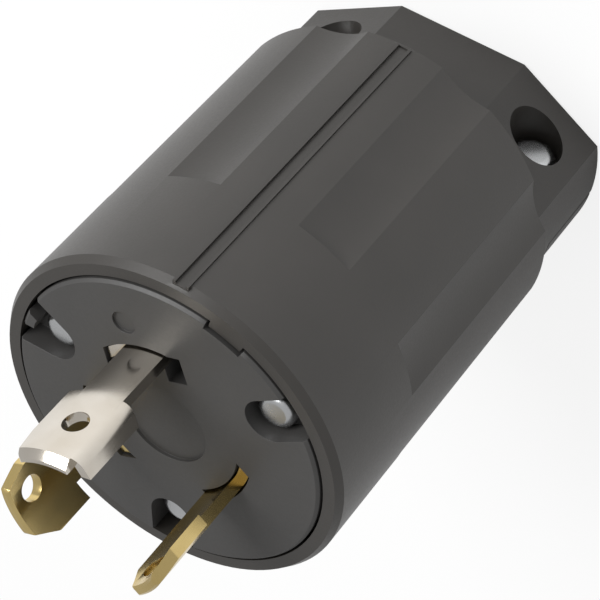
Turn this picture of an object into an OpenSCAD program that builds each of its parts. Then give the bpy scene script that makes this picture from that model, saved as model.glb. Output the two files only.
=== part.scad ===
// Locking power plug with three curved blades, standing on its rear end.
// Origin at the centre of the rear face, +Z along the axis towards the blades,
// +Y towards the index groove on the side of the body.

/* [Body] */
// Outer diameter of the round body
body_d = 51; // [49:0.5:58]
// Length of the round body, from the rear block to the front rim
body_len = 53.7; // [50:0.1:70]
// Wall round the wiring chamber
body_wall = 3.5; // [3:0.1:4.5]
// Wall of the front rim, outside the blade carrier
rim_wall = 2.4; // [2:0.1:2.8]
// Width of the chamfer round the front rim
rim_chamfer_w = 0.7; // [0.3:0.1:1.2]
// Length of the chamfer round the front rim
rim_chamfer_len = 1.1; // [0.3:0.1:1.5]
// Thickness of the floor between the chamber and the rear block
floor_t = 2.5; // [1.5:0.1:4]
// Depth of the key tab, inwards from the front rim
key_depth = 1.1; // [0.8:0.1:2]
// Width of the key tab, as an angle
key_angle = 12.6; // [8:0.2:24]

/* [Grip] */
// Number of scoops round the body
scoop_count = 8; // [4:1:8]
// Radius of a scoop's hollow
scoop_r = 12; // [9:0.5:20]
// Depth of a scoop at its middle
scoop_depth = 1.1; // [0.5:0.1:1.3]
// Plain length of body in front of the scoops
scoop_front = 17.9; // [14:0.1:30]
// Width of the index groove
groove_w = 1.5; // [0.6:0.1:2]
// Depth of the index groove
groove_depth = 0.2; // [0.1:0.05:0.8]
// Width of each rib beside the index groove
groove_rib_w = 0.4; // [0.2:0.1:0.8]
// Height of each rib beside the index groove
groove_rib_h = 0.25; // [0.1:0.05:0.5]
// Plain length of body at each end of the index groove
groove_end = 0.4; // [0.2:0.1:2]

/* [Rear block] */
// Length of the rear block
block_len = 19.2; // [17:0.2:26]
// Step in from the body to the rear block
block_step = 1.6; // [1:0.1:2.5]
// Height of the flat top above the axis
block_top = 14.2; // [12.5:0.1:16]
// Width of the flat top
block_flat_w = 19.9; // [14:0.1:22]
// Slope of the facets beside the flat top, in degrees
facet_angle = 31.4; // [25:0.1:35]
// Chamfer round the rear face
rear_chamfer = 0.6; // [0.2:0.1:1]

/* [Cord clamp] */
// Diameter of the cord passage
cord_hole_d = 16; // [10:0.5:18]
// Flare round the mouth of the cord passage
cord_flare = 1.2; // [0.4:0.1:1.6]
// Length of the clamp jaw
jaw_len = 13; // [12:0.2:14]
// Depth of the split below the axis
split_drop = 2.5; // [0:0.1:3]
// Open split between the jaw and the rear block
split_gap = 0.5; // [0.3:0.1:1.5]
// Play between the jaw's front end and the rear block
jaw_gap = 0.4; // [0.2:0.1:0.8]
// Distance of the clamp screws in from the rear block's side
clamp_screw_inset = 7.3; // [7:0.1:8]
// Height of the clamp screws above the rear face
clamp_screw_z = 8; // [6.5:0.1:8.4]
// Shank diameter of a clamp screw
clamp_screw_d = 4; // [3:0.1:4.5]
// Length of a clamp screw's shank
clamp_screw_len = 16; // [14:0.5:17]
// Height of the clamp screws' seat above the axis
clamp_seat_y = 4.5; // [3.5:0.1:5]
// Head diameter of a clamp screw
clamp_head_d = 6.6; // [6:0.1:7]
// Head height of a clamp screw
clamp_head_h = 2.4; // [1.6:0.1:2.8]
// Diameter of a clamp screw's counterbore
clamp_counterbore_d = 8; // [7.6:0.1:8.4]
// Width of a clamp nut across its flats
nut_af = 7; // [6:0.1:7.2]
// Height of a clamp nut
nut_h = 3.2; // [2.4:0.1:3.4]
// Depth of the nuts' seat below the axis
nut_seat_y = 7; // [6:0.1:7.6]
// Play round a nut in its pocket
nut_gap = 0.15; // [0.1:0.05:0.25]
// Outer diameter of the cord seal
seal_d = 23; // [21:0.5:25]
// Height of the cord seal
seal_h = 4; // [2.5:0.1:5]
// Hole of the cord seal
seal_hole_d = 13; // [8:0.5:15]

/* [Blade carrier] */
// Thickness of the blade carrier
carrier_t = 10.5; // [9:0.1:13]
// Height of the carrier's face above the front rim
face_rise = 0.5; // [0:0.1:1]
// Play between the carrier and the housing
carrier_gap = 0.35; // [0.2:0.05:0.8]
// Chamfer round the carrier's face
carrier_chamfer = 0.4; // [0.2:0.1:0.8]
// Thickness of the back plate
backplate_t = 6; // [4.5:0.1:8]
// Diameter of the shallow recess at the centre of the face
centre_recess_d = 12.2; // [8:0.1:15]
// Depth of the centre recess
centre_recess_depth = 0.5; // [0.2:0.1:1]
// Diameter of the small mark recess
dot_d = 3.4; // [2:0.1:4]
// Depth of the small mark recess
dot_depth = 0.4; // [0.2:0.1:1]
// Distance of the small mark recess from the axis
dot_r = 16.3; // [15:0.1:17.5]

/* [Carrier screws] */
// Distance of the carrier screws in from the carrier's edge
screw_inset = 4.8; // [4.2:0.1:5.2]
// Angle of the first carrier screw
screw_a_angle = 37.5; // [30:0.5:44]
// Angle of the second carrier screw
screw_b_angle = 165.5; // [160:0.5:172]
// Angle of the third carrier screw
screw_c_angle = 276.5; // [268:0.5:284]
// Head diameter of a carrier screw
screw_head_d = 5.4; // [5:0.1:6]
// Head height of a carrier screw
screw_head_h = 2; // [1.4:0.1:2.4]
// Shank diameter of a carrier screw
screw_d = 3.5; // [2.5:0.1:4]
// Shank length of a carrier screw
screw_len = 20; // [17:0.5:24]
// Depth of a screw head's top below the face
screw_sink = 1.6; // [1:0.1:3]
// Play round a screw head in its pocket
pocket_gap = 0.5; // [0.2:0.1:0.8]
// Flare of the second screw's pocket at each side, in degrees
pocket_flare = 16; // [0:1:20]
// Radius of a screw boss in the chamber
boss_r = 4; // [3.2:0.1:4.4]

/* [Blades] */
// Diameter of the circle round the outside of the blades
blade_circle_d = 25; // [24:0.1:26]
// Thickness of a blade
blade_t = 1.5; // [1.2:0.1:1.8]
// Height of the line blades above the face
line_len = 18.8; // [17:0.1:23]
// Height of the ground blade above the face
ground_len = 21; // [18:0.1:24]
// Angle of the ground blade
ground_angle = 109; // [104:0.5:114]
// Angle of the first line blade
line_x_angle = 206.5; // [203:0.5:211]
// Angle of the second line blade
line_y_angle = 325; // [320:0.5:330]
// Neck width of the ground blade
ground_w = 6.2; // [5.6:0.1:7]
// Neck width of the first line blade
line_x_w = 8.4; // [7.4:0.1:9]
// Neck width of the second line blade
line_y_w = 6.6; // [6.2:0.1:8]
// Depth of the locking notch in a blade's edge
lug_w = 2.3; // [1.2:0.1:2.8]
// Height of the locking notch above the face
notch_len = 8.8; // [7:0.1:11]
// Depth of the notch's lower end below the face
notch_sink = 0.5; // [0.1:0.1:1]
// Width by which a line blade's foot is wider than its head
line_foot = 0.3; // [0.1:0.1:0.6]
// Width by which the ground blade's foot is wider than its head
ground_foot = 1.1; // [0.5:0.1:1.4]
// Diameter of the hole in a blade
blade_hole_d = 3.6; // [2.5:0.1:4.2]
// Height of the ground blade's hole above the face
ground_hole_z = 14.3; // [13:0.1:15.5]
// Height of a line blade's hole above the face
line_hole_z = 15; // [12.5:0.1:15.2]
// Width of the chamfer on a line blade's corner
line_chamfer_w = 1.9; // [0.5:0.1:2.4]
// Length of the chamfer on a line blade's corner
line_chamfer_len = 3.6; // [1:0.1:5]
// Width of the chamfer on the ground blade's corner
ground_chamfer_w = 0.9; // [0.5:0.1:2.4]
// Length of the chamfer on the ground blade's corner
ground_chamfer_len = 4.5; // [1:0.1:5]
// Radius at the corners of a blade's outline
blade_corner_r = 1; // [0.2:0.1:1.2]
// Bevel round a line blade's tip, across its thickness
tip_bevel = 0.4; // [0.1:0.05:0.55]
// Width of the ground blade's lead-in, across its thickness
lead_in_w = 0.85; // [0.3:0.05:1]
// Length of the ground blade's lead-in
lead_in_len = 1.1; // [0.4:0.1:2.4]
// Outer radius of the ground blade's fold
fold_r = 1.8; // [1.8:0.1:2.4]
// Angle through which the ground blade folds in
fold_angle = 73; // [60:1:85]
// Straight length of the ground blade's leg
leg_len = 2; // [1:0.1:2.4]
// Depth of the fold's end below the ground blade's tip
fold_drop = 1.4; // [0.2:0.1:3]
// Slope of the fold's end down towards the leg, in degrees
fold_slope = 12; // [0:1:20]
// Room beside the fold in the ground blade's slot
fold_room = 1.1; // [0.4:0.1:1.4]
// Play round a blade in its slot
blade_gap = 0.3; // [0.1:0.05:0.4]
// Width of a blade's trapped flange beside its foot
flange_w = 1.5; // [1:0.1:1.8]
// Height of a blade's trapped flange
flange_t = 2; // [1.4:0.1:3]

/* [Terminals] */
// Width of a blade's terminal block
terminal_w = 7; // [6:0.1:7.2]
// Thickness of a terminal block
terminal_t = 3; // [2.5:0.1:3.4]
// Length of a terminal block below the back plate
terminal_len = 10; // [8.5:0.1:12]
// Step out from the blade circle to the terminal's face
terminal_step = 0.6; // [0.2:0.1:1]
// Shank diameter of a terminal screw
terminal_screw_d = 4; // [3:0.1:4.5]
// Length of a terminal screw's shank
terminal_screw_len = 6; // [5:0.1:7]
// Head diameter of a terminal screw
terminal_head_d = 7; // [5.5:0.1:7.4]
// Head height of a terminal screw
terminal_head_h = 2.4; // [1.6:0.1:3]
// Side of a square pressure plate
plate_w = 7.4; // [6.6:0.1:8]
// Thickness of a pressure plate
plate_t = 1.2; // [0.8:0.1:1.6]

/* [Fits] */
// Play round a screw in a hole that it passes through
screw_play = 0.2; // [0.1:0.05:0.3]
// Play between a screw and the thread that holds it
thread_play = 0.05; // [0.02:0.01:0.1]
// Play between parts that seat in one another
seat_play = 0.1; // [0.05:0.05:0.2]

/* [Hidden] */
$fn = 96;
eps = 0.01;
far = 60; // longer than any cut needs to be
corner_steps = 4; // flats in each rounded corner of a blade's outline

body_r = body_d / 2;
block_r = body_r - block_step;
chamber_r = body_r - body_wall;
bore_r = body_r - rim_wall;
carrier_r = bore_r - carrier_gap;
rim_z = block_len + body_len;
face_z = rim_z + face_rise;
plate_top_z = face_z - carrier_t;
seat_z = plate_top_z - backplate_t;
floor_z = block_len + floor_t;
cord_r = cord_hole_d / 2;

key_r = bore_r - key_depth;
key_mid = 71.8; // the key tab's direction
key_play_angle = 0.9;
dot_angle = 116; // the mark recess's direction

scoop_step = 360 / scoop_count;
strip_w = groove_w + 2 * groove_rib_w;

screw_r = carrier_r - screw_inset;
pocket_floor_z = face_z - screw_sink - screw_head_h;
pilot_depth = screw_len - (pocket_floor_z - seat_z) + 1;

clamp_x = block_r - clamp_screw_inset;

blade_out = blade_circle_d / 2;
blade_in = blade_out - blade_t;
terminal_x = blade_out + terminal_step;
terminal_z = seat_z - terminal_len / 2;

fold_start = -asin(ground_w / 2 / blade_out);

// Half-section of the rear block, reaching d from the axis, with the rear chamfer.
module block_profile(d) {
    polygon([[0, 0], [d - rear_chamfer, 0], [d, rear_chamfer], [d, block_len], [0, block_len]]);
}

// Slab whose chamfered flat side lies at d from the axis, in the direction of angle.
module block_slab(angle, d) {
    rotate(angle) translate([0, far, 0]) rotate([90, 0, 0]) linear_extrude(2 * far) {
        block_profile(d);
        translate([-far, 0]) square([far + eps, block_len]);
    }
}

// Solid rear block: round, with a flat top and a facet at each side of it.
module rear_block() {
    facet_d = block_flat_w / 2 * sin(facet_angle) + block_top * cos(facet_angle);
    intersection() {
        rotate_extrude() block_profile(block_r);
        block_slab(90, block_top);
        block_slab(90 - facet_angle, facet_d);
        block_slab(90 + facet_angle, facet_d);
    }
}

// Cord passage with a flared mouth and three ring grooves, whose lands grip the cord.
module cord_way() {
    grip_w = 1.4;
    grip_depth = 0.7;
    grip_pitch = jaw_len / 4;
    translate([0, 0, -1]) cylinder(h = floor_z + 2, r = cord_r);
    translate([0, 0, -1]) cylinder(h = cord_flare + 1, r1 = cord_r + cord_flare + 1, r2 = cord_r);
    for (i = [1:3])
        translate([0, 0, i * grip_pitch - grip_w / 2])
            cylinder(h = grip_w, r = cord_r + grip_depth);
}

// Places its children at each carrier screw's axis.
module at_screw(angle) {
    rotate(angle) translate([screw_r, 0, 0]) children();
}

// A hole or a shank along a clamp screw, from y_top down by len; side is -1 or 1.
module clamp_rod(side, y_top, len, r) {
    translate([side * clamp_x, y_top, clamp_screw_z]) rotate([90, 0, 0]) cylinder(h = len, r = r);
}

// Screw with a domed pan head, its seat at z = 0 and its shank below.
module pan_screw(head_d, head_h, shank_d, shank_len) {
    edge_h = head_h * 0.45;
    rise = head_h - edge_h;
    top_r = head_d * 0.3;
    dome_r = ((head_d / 2 - top_r) ^ 2 + rise ^ 2) / (2 * rise);
    translate([0, 0, -shank_len]) cylinder(h = shank_len + eps, r = shank_d / 2);
    rotate_extrude()
        intersection() {
            square([head_d / 2, head_h]);
            union() {
                square([head_d / 2, edge_h]);
                translate([0, edge_h - eps]) square([top_r, rise + eps]);
                translate([top_r, head_h - dome_r]) circle(dome_r);
            }
        }
}

// Body of revolution of the housing, with its bore, chamber and floor.
module housing_shell() {
    rotate_extrude()
        polygon([
            [0, block_len - eps], [body_r, block_len - eps], [body_r, rim_z - rim_chamfer_len],
            [body_r - rim_chamfer_w, rim_z], [bore_r, rim_z], [bore_r, seat_z],
            [chamber_r, seat_z], [chamber_r, floor_z], [0, floor_z],
        ]);
}

// Shallow hollows round the body, running out at its rear end.
module grip_scoops() {
    for (i = [0:scoop_count - 1])
        rotate(90 + (i + 0.5) * scoop_step)
            translate([body_r - scoop_depth + scoop_r, 0, block_len - 1])
                cylinder(h = body_len - scoop_front + 1, r = scoop_r);
}

// Key tab inside the front rim, which sets the carrier's direction; its top is at
// the height h.
module key_tab(h, play, angle_play) {
    rotate(key_mid - key_angle / 2 - angle_play)
        rotate_extrude(angle = key_angle + 2 * angle_play)
            translate([key_r - play, 0]) square([(bore_r + body_r) / 2 - key_r + play, h]);
}

// Screw bosses, each with the web that joins it to the chamber's wall.
module screw_bosses() {
    web_end = (chamber_r + bore_r) / 2 - screw_r;
    translate([0, 0, floor_z - floor_t / 2])
        linear_extrude(seat_z - floor_z + floor_t / 2)
            for (angle = [screw_a_angle, screw_b_angle, screw_c_angle])
                at_screw(angle) {
                    circle(boss_r);
                    translate([0, -boss_r / 2]) square([web_end, boss_r]);
                }
}

module housing() {
    color("#3a3937")
    difference() {
        union() {
            difference() {
                union() {
                    housing_shell();
                    rear_block();
                    translate([-strip_w / 2, (bore_r + body_r) / 2, block_len + groove_end])
                        cube([strip_w, (body_r - bore_r) / 2 + groove_rib_h, body_len - 2 * groove_end]);
                }
                grip_scoops();
                translate([-groove_w / 2, body_r - groove_depth, block_len + groove_end])
                    cube([groove_w, far, far]);
            }
            translate([0, 0, plate_top_z + seat_play])
                key_tab(rim_z - plate_top_z - seat_play, 0, 0);
            screw_bosses();
        }
        for (angle = [screw_a_angle, screw_b_angle, screw_c_angle])
            at_screw(angle) translate([0, 0, seat_z - pilot_depth])
                cylinder(h = pilot_depth + 1, r = screw_d / 2 + thread_play);
        cord_way();
        translate([0, 0, floor_z - seal_h]) cylinder(h = seal_h + 1, r = seal_d / 2 + seat_play);
        translate([-far, -far, -1])
            cube([2 * far, far - split_drop + split_gap / 2, jaw_len + jaw_gap + 1]);
        for (side = [-1, 1]) {
            clamp_rod(side, clamp_seat_y + far, far, clamp_counterbore_d / 2);
            clamp_rod(side, clamp_seat_y + 1, far, clamp_screw_d / 2 + screw_play);
        }
    }
}

// Lower jaw of the cord clamp, drawn up by two screws and two nuts.
module cord_clamp() {
    color("#363533")
    difference() {
        intersection() {
            rear_block();
            translate([-far, -far, 0]) cube([2 * far, far - split_drop - split_gap / 2, jaw_len]);
        }
        cord_way();
        for (side = [-1, 1]) {
            clamp_rod(side, 1, far, clamp_screw_d / 2 + screw_play);
            translate([side * clamp_x, -nut_seat_y, clamp_screw_z]) rotate([90, 0, 0])
                cylinder(h = far, r = nut_corner_r(nut_gap), $fn = 6);
        }
    }
}

// Corner radius of a nut's hexagon, with play round its flats.
function nut_corner_r(play) = (nut_af / 2 + play) / cos(30);

module cord_seal() {
    lip_h = seal_h / 4;
    lip_r = (seal_d + seal_hole_d) / 4;
    color("#2b2b2b")
    translate([0, 0, floor_z - seal_h])
        rotate_extrude()
            polygon([
                [seal_hole_d / 2, 0], [seal_d / 2, 0], [seal_d / 2, seal_h], [lip_r, seal_h],
                [seal_hole_d / 2 + lip_h, seal_h - lip_h], [seal_hole_d / 2, seal_h - lip_h],
            ]);
}

// Points of an arc of radius r that rounds the corner p between the points a and b.
function rounded_corner(a, p, b, r) =
    let(
        to_a = (a - p) / norm(a - p), to_b = (b - p) / norm(b - p),
        half = acos(to_a * to_b) / 2,
        centre = p + (to_a + to_b) / norm(to_a + to_b) * r / sin(half),
        start = p + to_a * r / tan(half) - centre,
        turn = sign(cross(to_b, to_a)) * (180 - 2 * half)
    )
    [for (i = [0:corner_steps]) let(t = turn * i / corner_steps)
        centre + [start.x * cos(t) - start.y * sin(t), start.x * sin(t) + start.y * cos(t)]];

// Outline through points given as [x, y, corner radius], each corner rounded.
function rounded_outline(points) =
    [for (i = [0:len(points) - 1])
        let(
            n = len(points), p = points[i],
            before = points[(i + n - 1) % n], after = points[(i + 1) % n]
        )
        each p[2] > 0
            ? rounded_corner([before.x, before.y], [p.x, p.y], [after.x, after.y], p[2])
            : [[p.x, p.y]]];

// Outline along a blade's face: x is along the circle, y is the height.
// w is the neck's width, len the height above the face, foot the extra width of
// the foot, and chamfer the width and length of the chamfer on the lug's corner.
// twin says whether the other corner is chamfered too.
module blade_outline(w, len, foot, chamfer, twin) {
    tip = face_z + len;
    head = w / 2 + lug_w;
    foot_x = head + foot;
    polygon(rounded_outline([
        [-w / 2 - flange_w, plate_top_z - flange_t, 0], [foot_x + flange_w, plate_top_z - flange_t, 0],
        [foot_x + flange_w, plate_top_z, 0], [foot_x, plate_top_z, 0],
        [foot_x, face_z - notch_sink, 0], [w / 2, face_z - notch_sink, 0],
        [w / 2, face_z + notch_len, 0], [head, face_z + notch_len, 0],
        [head, tip - chamfer[1], blade_corner_r], [head - chamfer[0], tip, blade_corner_r],
        if (twin) [-w / 2 + chamfer[0], tip, blade_corner_r],
        [-w / 2, twin ? tip - chamfer[1] : tip, twin ? blade_corner_r : 0],
        [-w / 2, plate_top_z, 0], [-w / 2 - flange_w, plate_top_z, 0],
    ]));
}

// Blade bent to the blade circle, with a thick terminal block at its tail.
// It lies in the direction of +X. outer and inner are the width and length of the
// bevels round its tip, and hole_z is its hole's height above the face.
module blade(w, len, foot, chamfer, twin, outer, inner, hole_z) {
    tip = face_z + len;
    low = plate_top_z - flange_t;
    difference() {
        union() {
            intersection() {
                rotate_extrude()
                    polygon([
                        [blade_in, low], [blade_out, low], [blade_out, tip - outer[1]],
                        [blade_out - outer[0], tip], [blade_in + inner[0], tip],
                        [blade_in, tip - inner[1]],
                    ]);
                rotate([90, 0, 90]) linear_extrude(far) blade_outline(w, len, foot, chamfer, twin);
            }
            translate([terminal_x - terminal_t, -terminal_w / 2, seat_z - terminal_len])
                cube([terminal_t, terminal_w, low - seat_z + terminal_len + flange_t / 2]);
        }
        translate([0, 0, face_z + hole_z]) rotate([0, 90, 0])
            cylinder(h = far, r = blade_hole_d / 2);
        translate([0, 0, terminal_z]) rotate([0, 90, 0])
            cylinder(h = far, r = terminal_screw_d / 2 + thread_play);
    }
}

// Places its children at the centre of the ground blade's fold, with +X outwards
// through the leg's face and the leg along -Y.
module at_fold() {
    rotate(fold_start) translate([blade_out - fold_r, 0, 0]) children();
}

// Section of the ground blade's fold and leg, grown by play on every side.
module fold_section(play) {
    at_fold() {
        rotate(-fold_angle)
            translate([fold_r - blade_t - play, -leg_len - play])
                square([blade_t + 2 * play, leg_len + play]);
        difference() {
            intersection() {
                circle(fold_r + play);
                polygon([[0, 0], [far, 0], [far, -far], [far * cos(fold_angle), -far * sin(fold_angle)]]);
            }
            circle(max(fold_r - blade_t - play, eps));
        }
    }
}

module ground_blade() {
    color("#c9c6be")
    rotate(ground_angle) {
        blade(ground_w, ground_len, ground_foot, [ground_chamfer_w, ground_chamfer_len], false,
              [lead_in_w, lead_in_len], [tip_bevel / 4, tip_bevel / 4], ground_hole_z);
        intersection() {
            translate([0, 0, face_z + notch_len])
                linear_extrude(ground_len - notch_len) fold_section(0);
            at_fold() translate([fold_r, 0, face_z + ground_len - fold_drop])
                rotate([0, -fold_slope, 0]) translate([-far, -far, -far]) cube([2 * far, 2 * far, far]);
        }
    }
}

// Line blade with a neck of width w, in the direction of angle.
module line_blade(w, angle) {
    color("#c2a052")
    rotate(angle)
        blade(w, line_len, line_foot, [line_chamfer_w, line_chamfer_len], true,
              [tip_bevel, tip_bevel], [tip_bevel, tip_bevel], line_hole_z);
}

// Curved slot for a blade lying in the direction of +X, with a neck of width w.
module blade_slot(w, foot) {
    slot_w = w + lug_w + foot + 2 * blade_gap;
    intersection() {
        difference() {
            circle(blade_out + blade_gap);
            circle(blade_in - blade_gap);
        }
        translate([0, -w / 2 - blade_gap]) square([far, slot_w]);
    }
}

// All three blade slots, as flat outlines; the ground blade's has room for its fold.
module blade_slots() {
    rotate(ground_angle) {
        blade_slot(ground_w, ground_foot);
        at_fold() rotate(-fold_angle)
            translate([fold_r - blade_t - blade_gap, -leg_len - blade_gap])
                square([blade_t + blade_gap + fold_room, leg_len + blade_gap + fold_r]);
    }
    rotate(line_x_angle) blade_slot(line_x_w, line_foot);
    rotate(line_y_angle) blade_slot(line_y_w, line_foot);
}

// Pocket for a carrier screw's head, open to the carrier's edge. Its sides flare
// outwards by flare degrees.
module screw_pocket(flare) {
    pocket_r = screw_head_d / 2 + pocket_gap;
    at_screw(0) translate([0, 0, pocket_floor_z]) linear_extrude(far) {
        circle(pocket_r);
        rotate(flare) square([far, pocket_r]);
        rotate(-flare) translate([0, -pocket_r]) square([far, pocket_r]);
    }
}

module blade_carrier() {
    color("#4b4a4a")
    difference() {
        rotate_extrude()
            polygon([
                [0, plate_top_z], [carrier_r, plate_top_z], [carrier_r, face_z - carrier_chamfer],
                [carrier_r - carrier_chamfer, face_z], [0, face_z],
            ]);
        translate([0, 0, plate_top_z - 1]) linear_extrude(carrier_t + 2) blade_slots();
        translate([0, 0, plate_top_z - 1]) key_tab(carrier_t + 2, carrier_gap, key_play_angle);
        for (angle = [screw_a_angle, screw_b_angle, screw_c_angle]) {
            rotate(angle) screw_pocket(angle == screw_b_angle ? pocket_flare : 0);
            at_screw(angle) translate([0, 0, plate_top_z - 1])
                cylinder(h = carrier_t, r = screw_d / 2 + screw_play);
        }
        translate([0, 0, face_z - centre_recess_depth])
            cylinder(h = 1 + centre_recess_depth, d = centre_recess_d);
        rotate(dot_angle) translate([dot_r, 0, face_z - dot_depth])
            cylinder(h = 1 + dot_depth, d = dot_d);
    }
}

// Seat and window for one blade's flange and terminal in the back plate.
module flange_seat(w, foot) {
    seat_w = w + lug_w + foot + 2 * (flange_w + seat_play);
    seat_y = -w / 2 - flange_w - seat_play;
    translate([0, 0, plate_top_z - flange_t]) linear_extrude(flange_t + 1)
        intersection() {
            difference() {
                circle(blade_out + seat_play);
                circle(blade_in - seat_play);
            }
            translate([0, seat_y]) square([far, seat_w]);
        }
    translate([terminal_x - terminal_t - seat_play, -terminal_w / 2 - seat_play, seat_z - 1])
        cube([terminal_t + 2 * seat_play, terminal_w + 2 * seat_play, backplate_t + 2]);
}

module carrier_backplate() {
    color("#57534c")
    difference() {
        translate([0, 0, seat_z]) cylinder(h = backplate_t, r = carrier_r);
        rotate(ground_angle) flange_seat(ground_w, ground_foot);
        rotate(line_x_angle) flange_seat(line_x_w, line_foot);
        rotate(line_y_angle) flange_seat(line_y_w, line_foot);
        for (angle = [screw_a_angle, screw_b_angle, screw_c_angle])
            at_screw(angle) translate([0, 0, seat_z - 1])
                cylinder(h = backplate_t + 2, r = screw_d / 2 + screw_play);
    }
}

// Terminal screw on the blade that lies at angle, seated on its pressure plate.
module terminal_screw(angle) {
    color("#b9b6ae")
    rotate(angle) translate([terminal_x + plate_t, 0, terminal_z]) rotate([0, 90, 0])
        pan_screw(terminal_head_d, terminal_head_h, terminal_screw_d, terminal_screw_len);
}

// Square pressure plate on the blade that lies at angle.
module pressure_plate(angle) {
    color("#c2a052")
    rotate(angle) difference() {
        translate([terminal_x, -plate_w / 2, terminal_z - plate_w / 2]) cube([plate_t, plate_w, plate_w]);
        translate([terminal_x - 1, 0, terminal_z]) rotate([0, 90, 0])
            cylinder(h = plate_t + 2, r = terminal_screw_d / 2 + screw_play);
    }
}

module carrier_screw(angle) {
    color("#b9bac0")
    at_screw(angle) translate([0, 0, pocket_floor_z])
        pan_screw(screw_head_d, screw_head_h, screw_d, screw_len);
}

module clamp_screw(side) {
    color("#b9bac0")
    translate([side * clamp_x, clamp_seat_y, clamp_screw_z]) rotate([-90, 0, 0])
        pan_screw(clamp_head_d, clamp_head_h, clamp_screw_d, clamp_screw_len);
}

module clamp_nut(side) {
    color("#b9bac0")
    difference() {
        translate([side * clamp_x, -nut_seat_y, clamp_screw_z]) rotate([90, 0, 0])
            cylinder(h = nut_h, r = nut_corner_r(0), $fn = 6);
        clamp_rod(side, 0, far, clamp_screw_d / 2 + thread_play);
    }
}

housing();
cord_clamp();
cord_seal();
blade_carrier();
carrier_backplate();
ground_blade();
line_blade(line_x_w, line_x_angle);  // line_blade_x
line_blade(line_y_w, line_y_angle);  // line_blade_y
terminal_screw(ground_angle);  // terminal_screw_ground
terminal_screw(line_x_angle);  // terminal_screw_x
terminal_screw(line_y_angle);  // terminal_screw_y
pressure_plate(ground_angle);  // pressure_plate_ground
pressure_plate(line_x_angle);  // pressure_plate_x
pressure_plate(line_y_angle);  // pressure_plate_y
carrier_screw(screw_a_angle);  // carrier_screw_a
carrier_screw(screw_b_angle);  // carrier_screw_b
carrier_screw(screw_c_angle);  // carrier_screw_c
clamp_screw(-1);  // clamp_screw_left
clamp_screw(1);  // clamp_screw_right
clamp_nut(-1);  // clamp_nut_left
clamp_nut(1);  // clamp_nut_right
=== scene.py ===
"""Locking power plug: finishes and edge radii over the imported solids.

The plug stands on its cord end with its blades up. Its shapes come from the
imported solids, in metres. Values named here in millimetres go through MM.
"""

import math

import bmesh
import bpy
from mathutils import Matrix, Vector


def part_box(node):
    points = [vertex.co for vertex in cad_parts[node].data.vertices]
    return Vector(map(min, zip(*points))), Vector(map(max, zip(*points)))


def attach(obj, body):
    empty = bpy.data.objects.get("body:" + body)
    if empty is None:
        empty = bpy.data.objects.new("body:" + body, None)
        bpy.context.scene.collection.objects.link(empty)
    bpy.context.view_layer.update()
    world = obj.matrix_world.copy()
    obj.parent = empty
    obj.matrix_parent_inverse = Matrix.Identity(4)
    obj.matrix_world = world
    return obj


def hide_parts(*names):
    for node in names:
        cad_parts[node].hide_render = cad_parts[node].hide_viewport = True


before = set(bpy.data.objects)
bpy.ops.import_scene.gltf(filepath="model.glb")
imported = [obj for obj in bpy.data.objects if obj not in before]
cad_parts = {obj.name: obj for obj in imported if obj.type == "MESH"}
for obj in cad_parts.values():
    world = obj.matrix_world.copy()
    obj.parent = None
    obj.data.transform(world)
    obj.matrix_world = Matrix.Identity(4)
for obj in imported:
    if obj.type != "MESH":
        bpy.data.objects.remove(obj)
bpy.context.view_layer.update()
MM = 0.001

# ---------------------------------------------------------------- measures

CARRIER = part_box("blade_carrier")
FACE_Z = CARRIER[1].z
CENTRE = (0, 0, FACE_Z / 2)

EDGE_MOULDED = 0.2 * MM
EDGE_STAMPED = 0.15 * MM
EDGE_SMALL = 0.1 * MM
EDGE_SEGMENTS = 3
SHARP_ANGLE = math.radians(22)
FLAT_ANGLE = math.radians(0.5)
MERGE_DISTANCE = 0.002 * MM

FLOOR_HALF_WIDTH = 4.0
FLOOR_WHITE_SHARE = 0.82
WORLD_LEVEL = 0.6
KEY_PLACE = (-0.3, 0.35, 0.5)
KEY_SIZE = 0.4
KEY_POWER = 4.0

CAMERA_PLACE = Vector((101.2, 243.9, 244.0)) * MM
CAMERA_AIM = Vector((2.1, -0.85, 44.44)) * MM
CAMERA_ROLL = math.radians(-138.4)
CAMERA_LENS = 148.56
CAMERA_SENSOR = 36
CAMERA_NEAR = 0.01

CARRIER_SCREWS = ("carrier_screw_a", "carrier_screw_b", "carrier_screw_c")
CLAMP_SCREWS = ("clamp_screw_left", "clamp_screw_right")
CLAMP_NUTS = ("clamp_nut_left", "clamp_nut_right")
TERMINALS = ("ground", "x", "y")


# --------------------------------------------------------------- materials

def linear(hex_colour):
    """Linear RGBA of an sRGB hex colour."""
    channels = [int(hex_colour[i:i + 2], 16) / 255 for i in (1, 3, 5)]
    return [c / 12.92 if c <= 0.04045 else ((c + 0.055) / 1.055) ** 2.4 for c in channels] + [1.0]


def add(tree, kind, links=(), **settings):
    """Adds a node; settings name its properties or input sockets, links feed its sockets."""
    node = tree.nodes.new(kind)
    for key, value in settings.items():
        if hasattr(node, key):
            setattr(node, key, value)
        else:
            node.inputs[key.replace("_", " ")].default_value = value
    for socket, source in dict(links).items():
        tree.links.new(source, node.inputs[socket])
    return node


def new_material(name):
    """Empty material with its node tree, its surface output and object coordinates."""
    made = bpy.data.materials.new(name)
    made.use_nodes = True
    tree = made.node_tree
    tree.nodes.clear()
    place = add(tree, "ShaderNodeTexCoord").outputs["Object"]
    return made, tree, place


def surface(tree, shader):
    """Feeds a shader to its material's output."""
    add(tree, "ShaderNodeOutputMaterial", {"Surface": shader.outputs[0]})


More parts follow.
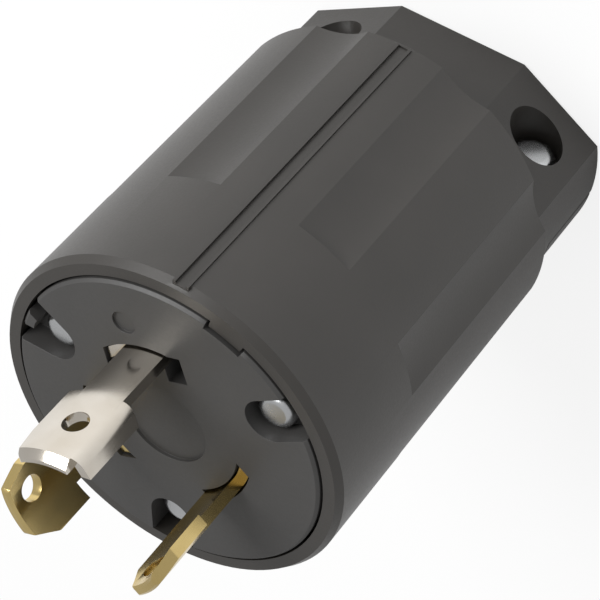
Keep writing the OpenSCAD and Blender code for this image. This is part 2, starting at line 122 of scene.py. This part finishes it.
def moulded_nylon(name, dark, light, grain_mm, roughness):
    """Glass-filled nylon, moulded against a spark-eroded steel tool.

    The tool leaves a fine even grain that spreads the highlight, and the
    filler near the skin clouds the black a little.
    """
    made, tree, place = new_material(name)
    cloud = add(tree, "ShaderNodeTexNoise", {"Vector": place}, Scale=1 / (9 * MM), Detail=3.0)
    tint = add(tree, "ShaderNodeMix", {"Factor": cloud.outputs["Fac"]}, data_type="RGBA")
    tint.inputs["A"].default_value = linear(dark)
    tint.inputs["B"].default_value = linear(light)
    grain = add(tree, "ShaderNodeTexNoise", {"Vector": place}, Scale=1 / (grain_mm * MM), Detail=2.0)
    rough = add(tree, "ShaderNodeMapRange", {"Value": grain.outputs["Fac"]})
    rough.inputs["To Min"].default_value = roughness - 0.05
    rough.inputs["To Max"].default_value = roughness + 0.07
    bump = add(tree, "ShaderNodeBump", {"Height": grain.outputs["Fac"]}, Strength=0.35,
               Distance=0.03 * MM)
    shader = add(tree, "ShaderNodeBsdfPrincipled", {
        "Base Color": tint.outputs["Result"], "Roughness": rough.outputs["Result"],
        "Normal": bump.outputs["Normal"],
    }, IOR=1.53)
    surface(tree, shader)
    return made


def stamped_metal(name, clean, dull, roughness):
    """Strip metal, stamped and tumbled: fine lengthwise rolling marks and a patchy dullness."""
    stroke_mm = 0.25
    made, tree, place = new_material(name)
    stretched = add(tree, "ShaderNodeMapping", {"Vector": place}, Scale=(1.0, 1.0, 0.06))
    stroke = add(tree, "ShaderNodeTexNoise", {"Vector": stretched.outputs["Vector"]},
                 Scale=1 / (stroke_mm * MM), Detail=3.0)
    patch = add(tree, "ShaderNodeTexNoise", {"Vector": place}, Scale=1 / (5 * MM), Detail=4.0)
    tint = add(tree, "ShaderNodeMix", {"Factor": patch.outputs["Fac"]}, data_type="RGBA")
    tint.inputs["A"].default_value = linear(clean)
    tint.inputs["B"].default_value = linear(dull)
    rough = add(tree, "ShaderNodeMapRange", {"Value": patch.outputs["Fac"]})
    rough.inputs["To Min"].default_value = roughness - 0.05
    rough.inputs["To Max"].default_value = roughness + 0.1
    bump = add(tree, "ShaderNodeBump", {"Height": stroke.outputs["Fac"]}, Strength=0.12,
               Distance=0.01 * MM)
    shader = add(tree, "ShaderNodeBsdfPrincipled", {
        "Base Color": tint.outputs["Result"], "Roughness": rough.outputs["Result"],
        "Normal": bump.outputs["Normal"],
    }, Metallic=1.0)
    surface(tree, shader)
    return made


def seal_rubber(name):
    """Moulded chloroprene rubber: matt, nearly black, with a faint bloom."""
    made, tree, place = new_material(name)
    bloom = add(tree, "ShaderNodeTexNoise", {"Vector": place}, Scale=1 / (3 * MM), Detail=4.0)
    tint = add(tree, "ShaderNodeMix", {"Factor": bloom.outputs["Fac"]}, data_type="RGBA")
    tint.inputs["A"].default_value = linear("#1c1c1c")
    tint.inputs["B"].default_value = linear("#2b2a29")
    bump = add(tree, "ShaderNodeBump", {"Height": bloom.outputs["Fac"]}, Strength=0.2,
               Distance=0.05 * MM)
    shader = add(tree, "ShaderNodeBsdfPrincipled", {
        "Base Color": tint.outputs["Result"], "Normal": bump.outputs["Normal"],
    }, Roughness=0.75, IOR=1.52)
    surface(tree, shader)
    return made


BODY_NYLON = moulded_nylon("black_nylon", "#2b2926", "#35322f", 0.35, 0.42)
FACE_NYLON = moulded_nylon("face_nylon", "#343332", "#3d3c3b", 0.4, 0.5)
RUBBER = seal_rubber("seal_rubber")
BRASS = stamped_metal("brass", "#d9c48a", "#bda468", 0.2)
NICKEL = stamped_metal("nickel_plate", "#d8d3cb", "#bdb4a6", 0.14)
ZINC = stamped_metal("zinc_steel", "#d6d7d8", "#b4b6b8", 0.24)


# ------------------------------------------------------------------ pieces

def finish_piece(piece, material, slot, *nodes):
    """Gives a piece its material, rides it on the plug and hides the nodes it stands for."""
    piece.data.materials.clear()
    piece.data.materials.append(material)
    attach(piece, "root")
    if nodes:
        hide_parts(*nodes)
    return piece


def new_piece(name, bm):
    """Mesh object of a bmesh, which is freed."""
    mesh = bpy.data.meshes.new(name)
    bm.to_mesh(mesh)
    bm.free()
    piece = bpy.data.objects.new(name, mesh)
    bpy.context.scene.collection.objects.link(piece)
    return piece


def round_edges(piece, width):
    """Small edge radius on every sharp edge, with clean shading across the flats."""
    bevel = piece.modifiers.new("edge_radius", "BEVEL")
    bevel.width = width
    bevel.segments = EDGE_SEGMENTS
    bevel.limit_method = "ANGLE"
    bevel.angle_limit = SHARP_ANGLE
    bevel.use_clamp_overlap = True
    bevel.miter_outer = "MITER_ARC"
    piece.data.polygons.foreach_set("use_smooth", [True] * len(piece.data.polygons))
    weight = piece.modifiers.new("flat_shading", "WEIGHTED_NORMAL")
    weight.weight = 100
    weight.keep_sharp = False


def rounded_copy(node, width, material, slot):
    """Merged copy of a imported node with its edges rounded, which stands for that node."""
    bm = bmesh.new()
    bm.from_mesh(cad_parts[node].data)
    bmesh.ops.remove_doubles(bm, verts=bm.verts, dist=MERGE_DISTANCE)
    bmesh.ops.dissolve_limit(bm, angle_limit=FLAT_ANGLE, verts=bm.verts, edges=bm.edges,
                             delimit={"NORMAL"})
    piece = new_piece(node + "_finished", bm)
    round_edges(piece, width)
    return finish_piece(piece, material, slot, node)


rounded_copy("housing", EDGE_MOULDED, BODY_NYLON, "black_nylon")
rounded_copy("cord_clamp", EDGE_MOULDED, BODY_NYLON, "black_nylon")
rounded_copy("cord_seal", EDGE_MOULDED, RUBBER, "seal_rubber")
rounded_copy("blade_carrier", EDGE_MOULDED, FACE_NYLON, "face_nylon")
rounded_copy("carrier_backplate", EDGE_MOULDED, FACE_NYLON, "face_nylon")
rounded_copy("ground_blade", EDGE_STAMPED, NICKEL, "nickel_plate")
rounded_copy("line_blade_x", EDGE_STAMPED, BRASS, "brass")
rounded_copy("line_blade_y", EDGE_STAMPED, BRASS, "brass")
for node in CARRIER_SCREWS + CLAMP_SCREWS + CLAMP_NUTS:
    rounded_copy(node, EDGE_SMALL, ZINC, "zinc_steel")
for end in TERMINALS:
    rounded_copy("terminal_screw_" + end, EDGE_SMALL, ZINC, "zinc_steel")
    rounded_copy("pressure_plate_" + end, EDGE_SMALL, BRASS, "brass")


# ------------------------------------------------------- floor, light, view

def studio_floor():
    """Wide pale floor; seen directly it is mostly white, and it still takes the plug's shadow."""
    bm = bmesh.new()
    bmesh.ops.create_grid(bm, x_segments=1, y_segments=1, size=FLOOR_HALF_WIDTH)
    floor = new_piece("floor", bm)
    made, tree, place = new_material("painted_floor")
    speck = add(tree, "ShaderNodeTexNoise", {"Vector": place}, Scale=40.0)
    tint = add(tree, "ShaderNodeMix", {"Factor": speck.outputs["Fac"]}, data_type="RGBA")
    tint.inputs["A"].default_value = linear("#f2f2f2")
    tint.inputs["B"].default_value = linear("#f6f6f6")
    paint = add(tree, "ShaderNodeBsdfDiffuse", {"Color": tint.outputs["Result"]})
    white = add(tree, "ShaderNodeEmission", Strength=1.0)
    rays = add(tree, "ShaderNodeLightPath")
    seen = add(tree, "ShaderNodeMath", {0: rays.outputs["Is Camera Ray"]}, operation="MULTIPLY")
    seen.inputs[1].default_value = FLOOR_WHITE_SHARE
    shader = add(tree, "ShaderNodeMixShader", {
        "Fac": seen.outputs[0], 1: paint.outputs[0], 2: white.outputs[0],
    })
    surface(tree, shader)
    floor.data.materials.append(made)


def studio_world(level):
    """Even pale surroundings, white where the camera sees them directly."""
    world = bpy.data.worlds.new("studio")
    bpy.context.scene.world = world
    world.use_nodes = True
    tree = world.node_tree
    tree.nodes.clear()
    rays = add(tree, "ShaderNodeLightPath")
    soft = add(tree, "ShaderNodeBackground", Color=(1, 1, 1, 1), Strength=level)
    white = add(tree, "ShaderNodeBackground", Color=(1, 1, 1, 1), Strength=1.0)
    shader = add(tree, "ShaderNodeMixShader", {
        "Fac": rays.outputs["Is Camera Ray"], 1: soft.outputs[0], 2: white.outputs[0],
    })
    add(tree, "ShaderNodeOutputWorld", {"Surface": shader.outputs[0]})


def soft_box(name, place, aim, size, power):
    """Square soft box at place, turned to aim."""
    lamp = bpy.data.lights.new(name, "AREA")
    lamp.size = size
    lamp.energy = power
    made = bpy.data.objects.new(name, lamp)
    made.location = place
    made.rotation_mode = "QUATERNION"
    made.rotation_quaternion = (Vector(aim) - Vector(place)).to_track_quat("-Z", "Y")
    bpy.context.scene.collection.objects.link(made)


def view_camera():
    """Camera above the blades, turned so that the plug points to the lower left."""
    data = bpy.data.cameras.new("camera")
    data.sensor_width = CAMERA_SENSOR
    data.lens = CAMERA_LENS
    data.clip_start = CAMERA_NEAR
    made = bpy.data.objects.new("camera", data)
    made.location = CAMERA_PLACE
    made.rotation_mode = "QUATERNION"
    look = (CAMERA_AIM - CAMERA_PLACE).to_track_quat("-Z", "Y")
    made.rotation_quaternion = look @ Matrix.Rotation(CAMERA_ROLL, 3, "Z").to_quaternion()
    bpy.context.scene.collection.objects.link(made)
    bpy.context.scene.camera = made


studio_floor()
studio_world(WORLD_LEVEL)
soft_box("key_light", KEY_PLACE, CENTRE, KEY_SIZE, KEY_POWER)
view_camera()
bpy.context.scene.view_settings.view_transform = "Standard"
